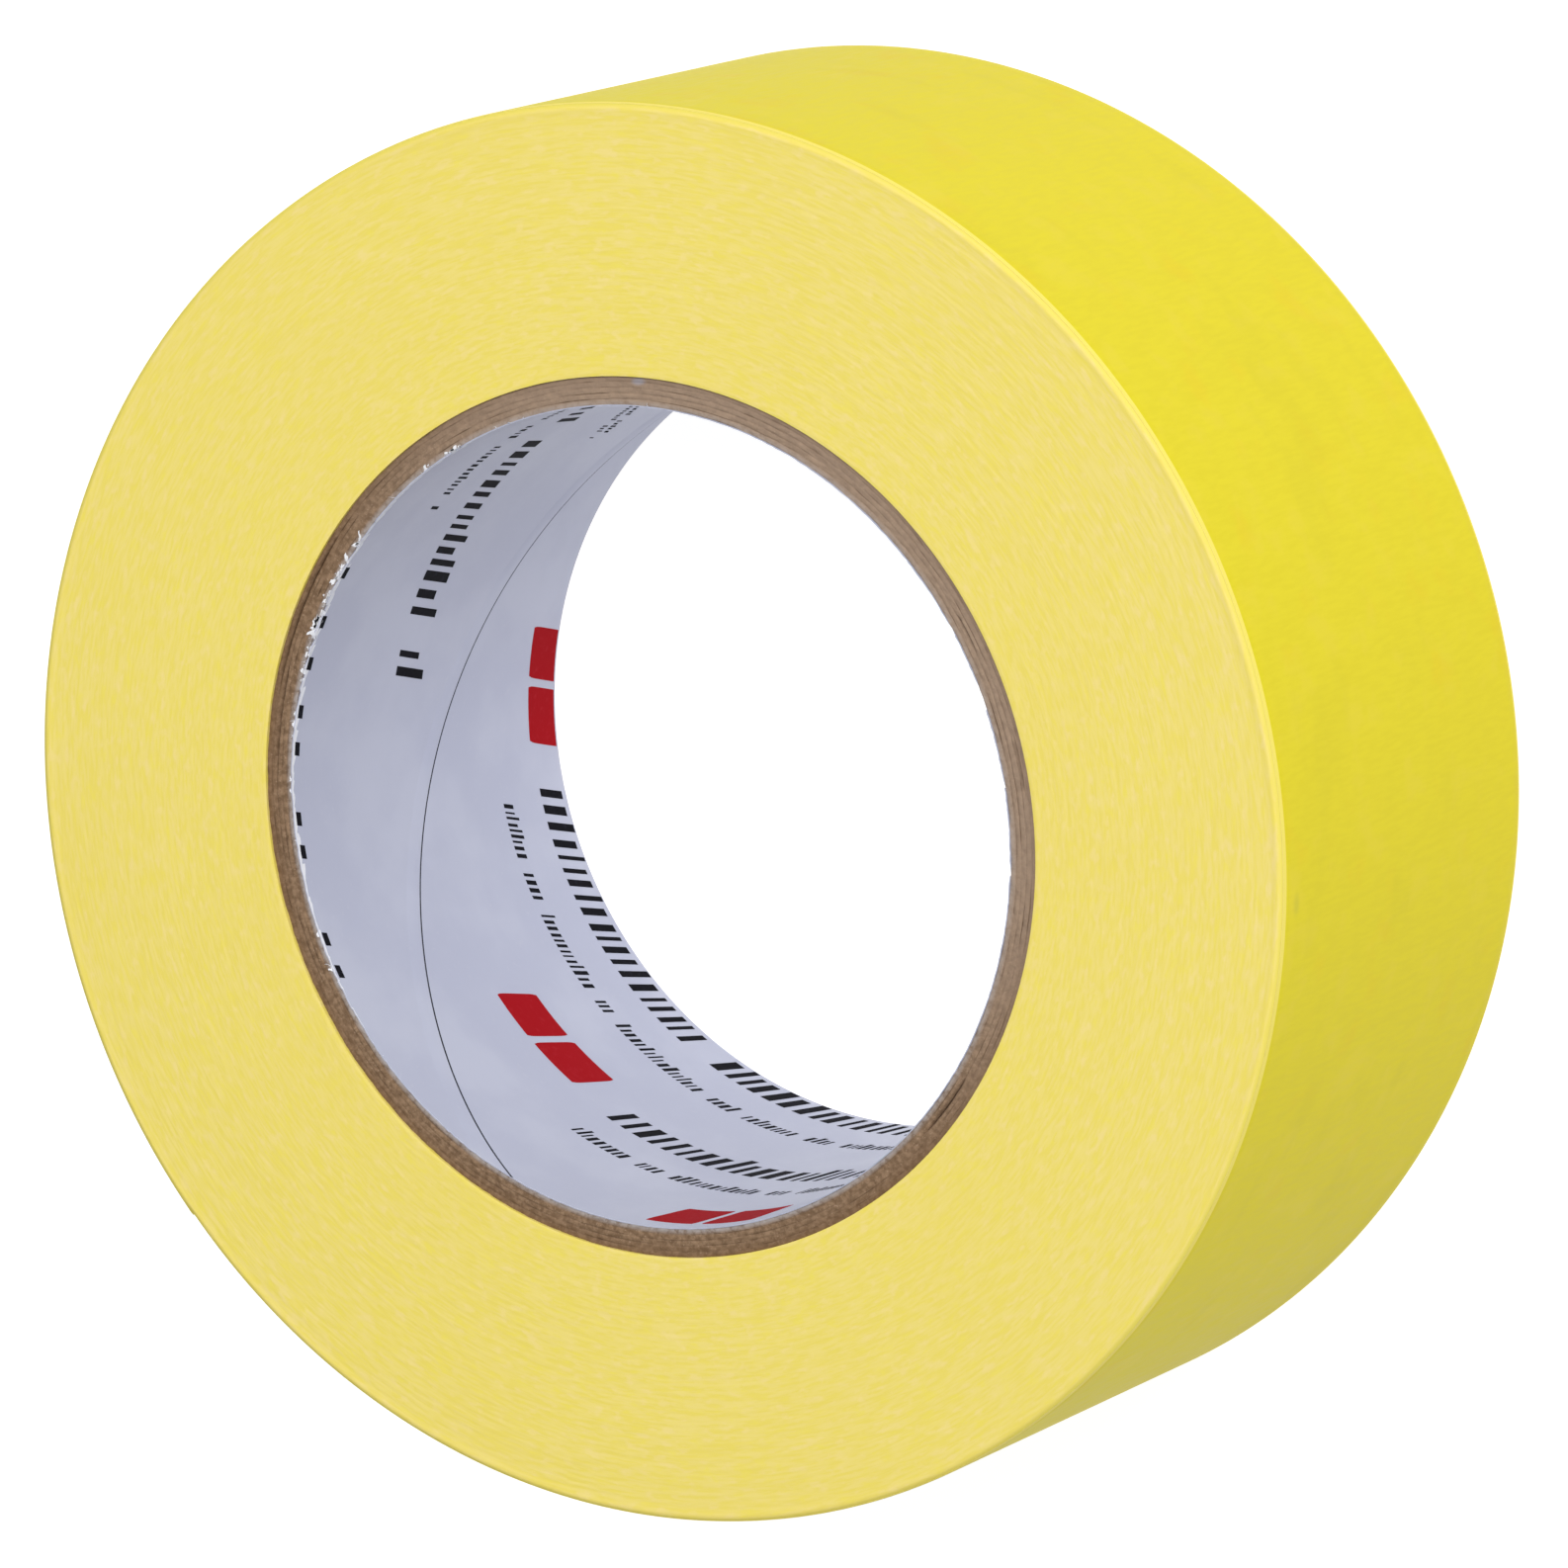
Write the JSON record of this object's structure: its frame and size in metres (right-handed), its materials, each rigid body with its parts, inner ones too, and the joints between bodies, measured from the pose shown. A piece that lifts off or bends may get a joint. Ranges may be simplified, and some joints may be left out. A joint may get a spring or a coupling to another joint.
{
  "type": "masking tape roll",
  "caption": "Roll of yellow crepe-paper masking tape wound on a paper core with a printed liner, with a short free tail that peels off the roll.",
  "frame": {"origin": "centre of the roll's bottom face, on the bore axis", "axes": "+Z along the bore axis, up out of the face that carries the view into the core; X and Y lie in the face the roll rests on; the tape's cut end points 215 degrees counter-clockwise from +X"},
  "size_m": [0.1321, 0.132, 0.048],
  "materials": {
    "wound_paper": "matte",
    "backing": "satin",
    "adhesive": "satin",
    "kraft": "matte",
    "liner": "satin"
  },
  "bodies": {
    "roll": {"core_liner": "liner", "core_ply_1": "kraft", "core_ply_2": "kraft", "core_ply_3": "kraft", "core_ply_4": "kraft", "core_ply_5": "kraft", "wound_turns": "wound_paper", "outer_turn_adhesive": "adhesive", "outer_turn_backing": "backing"},
    "tail_1": {"tail_adhesive_1": "adhesive", "tail_backing_1": "backing"},
    "tail_2": {"tail_adhesive_2": "adhesive", "tail_backing_2": "backing"},
    "tail_3": {"tail_adhesive_3": "adhesive", "tail_backing_3": "backing"},
    "tail_4": {"tail_adhesive_4": "adhesive", "tail_backing_4": "backing"},
    "tail_5": {"tail_adhesive_5": "adhesive", "tail_backing_5": "backing"}
  },
  "joints": [
    {"name": "peel", "type": "hinge", "parent": "roll", "child": "tail_1", "pos_m": [-0.06589, 0.00571, 0.024], "axis": [0, 0, -1], "range_deg": [0, 140]},
    {"name": "tail_bend_2", "type": "hinge", "parent": "tail_1", "child": "tail_2", "pos_m": [-0.06605, -0.00351, 0.024], "axis": [0, 0, -1], "range_deg": [0, 8]},
    {"name": "tail_bend_3", "type": "hinge", "parent": "tail_2", "child": "tail_3", "pos_m": [-0.06492, -0.01266, 0.024], "axis": [0, 0, -1], "range_deg": [0, 8]},
    {"name": "tail_bend_4", "type": "hinge", "parent": "tail_3", "child": "tail_4", "pos_m": [-0.06254, -0.02157, 0.024], "axis": [0, 0, -1], "range_deg": [0, 8]},
    {"name": "tail_bend_5", "type": "hinge", "parent": "tail_4", "child": "tail_5", "pos_m": [-0.05893, -0.03005, 0.024], "axis": [0, 0, -1], "range_deg": [0, 8]}
  ],
  "couplings": [
    {"joint": "tail_bend_2", "follows": "peel", "ratio": 0.05},
    {"joint": "tail_bend_3", "follows": "peel", "ratio": 0.05},
    {"joint": "tail_bend_4", "follows": "peel", "ratio": 0.05},
    {"joint": "tail_bend_5", "follows": "peel", "ratio": 0.05}
  ]
}
